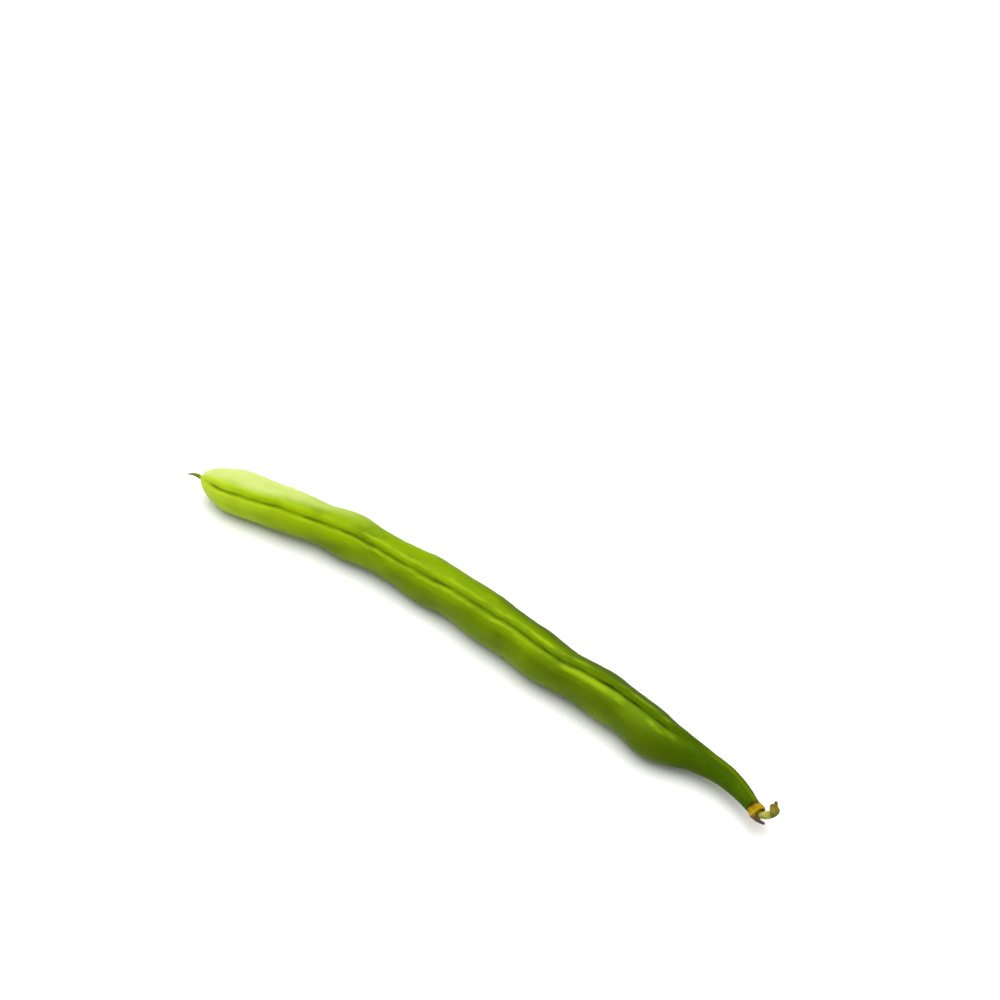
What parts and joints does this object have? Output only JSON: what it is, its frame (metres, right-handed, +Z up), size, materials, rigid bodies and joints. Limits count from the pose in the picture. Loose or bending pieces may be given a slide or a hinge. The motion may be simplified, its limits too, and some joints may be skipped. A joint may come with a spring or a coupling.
{
  "type": "green bean",
  "caption": "Slim, gently bowed green bean pod with seed swellings, a lipped groove, a thin beak, a dried calyx and a torn stalk, lying on its side.",
  "frame": {"origin": "on the resting surface, under the middle of the bean's bounding box", "axes": "+X along the pod from its beak to its stalk, +Z up from the surface, and the pod bows towards +Y"},
  "size_m": [0.1408, 0.0143, 0.0093],
  "materials": {
    "pod_skin": "fresh green pod skin with a soft waxy sheen",
    "dry_calyx": "dry golden brown, matt",
    "stalk_skin": "pale yellow-green stalk, dull, torn at its end"
  },
  "bodies": {
    "root": {"pod": "pod_skin", "calyx": "dry_calyx", "stalk": "stalk_skin"}
  },
  "joints": []
}
